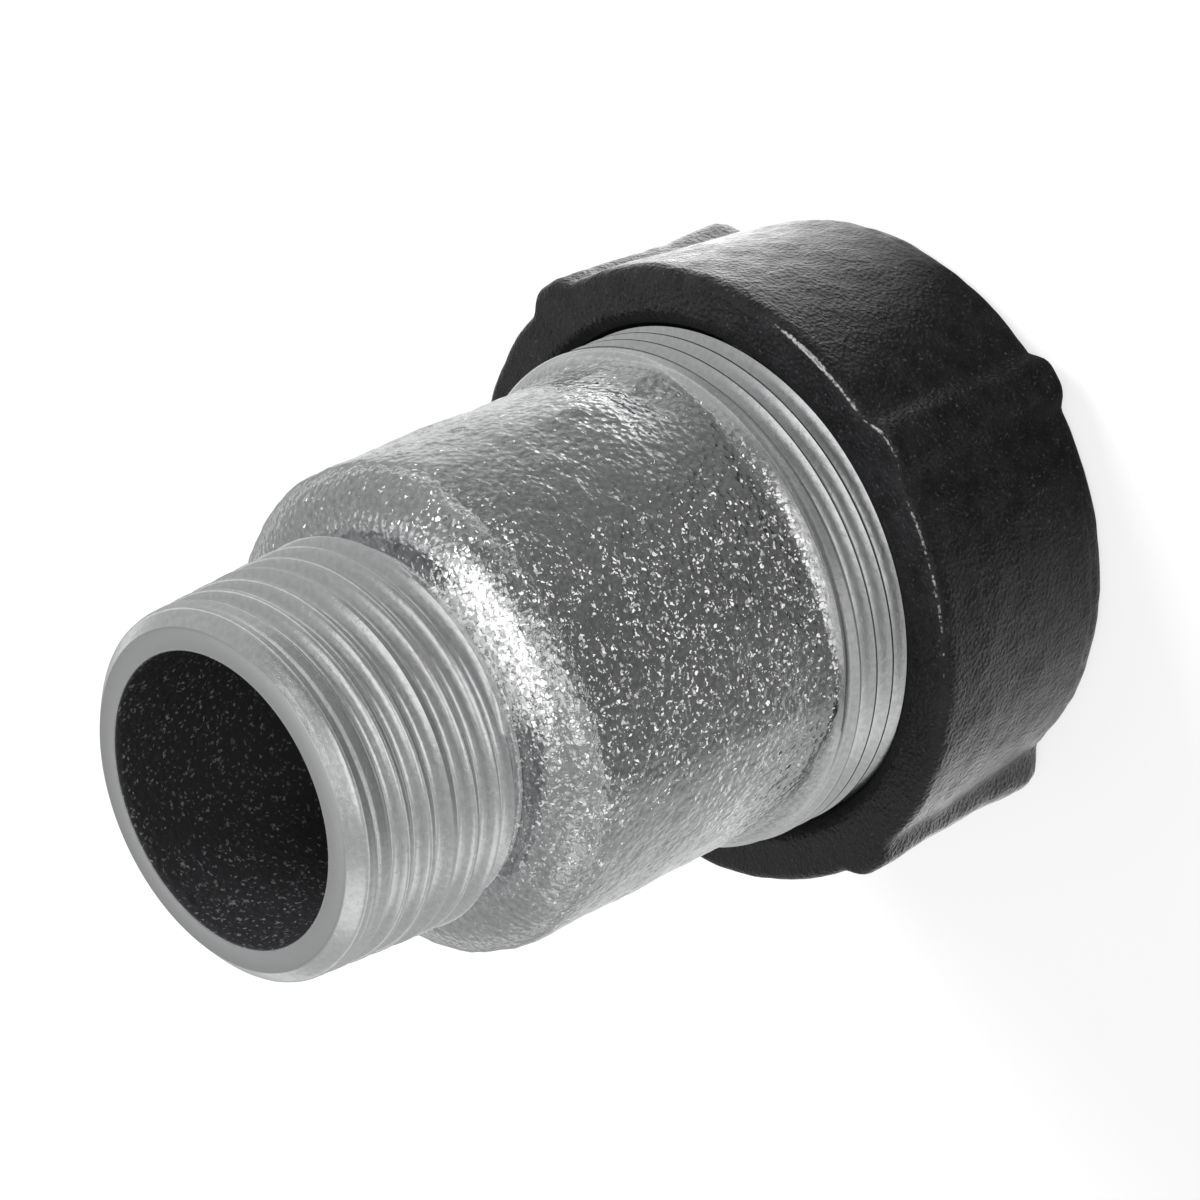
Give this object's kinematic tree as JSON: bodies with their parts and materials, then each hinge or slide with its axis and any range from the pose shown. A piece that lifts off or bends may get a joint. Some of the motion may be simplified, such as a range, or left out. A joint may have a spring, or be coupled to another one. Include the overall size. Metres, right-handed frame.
{
  "type": "compression pipe coupling",
  "caption": "Straight coupling that grips a plain steel pipe in a ribbed compression nut and screws into a socket with a taper male thread.",
  "frame": {"origin": "middle of the nut's outer end face, on the coupling's axis", "axes": "+Z along the axis from the nut's end face to the male thread, +X through one rib of the nut"},
  "size_m": [0.0578, 0.0578, 0.079],
  "materials": {
    "galvanised_iron": "hot-dip galvanised casting with machined threads",
    "black_iron": "semi-gloss black coating over a rough casting",
    "hardened_steel": "oiled bare steel",
    "zinc_steel": "zinc plated",
    "seal_rubber": "matt black moulded rubber"
  },
  "bodies": {
    "fitting": {"coupling_body": "galvanised_iron", "rubber_seal": "seal_rubber"},
    "ring_pack": {"clamp_ring": "hardened_steel", "pressure_washer": "zinc_steel"},
    "nut": {"compression_nut": "black_iron"}
  },
  "joints": [
    {"name": "nut_travel", "type": "slide", "parent": "fitting", "child": "ring_pack", "axis": [0, 0, 1], "range_m": [-0.0055, 0.0025], "deforming": ["rubber_seal"]},
    {"name": "nut_turn", "type": "hinge", "parent": "ring_pack", "child": "nut", "pos_m": [0, 0, 0], "axis": [0, 0, 1], "range_deg": [-989, 449]}
  ],
  "couplings": [
    {"joint": "nut_travel", "follows": "nut_turn", "m_per_rad": 0.00031831}
  ]
}
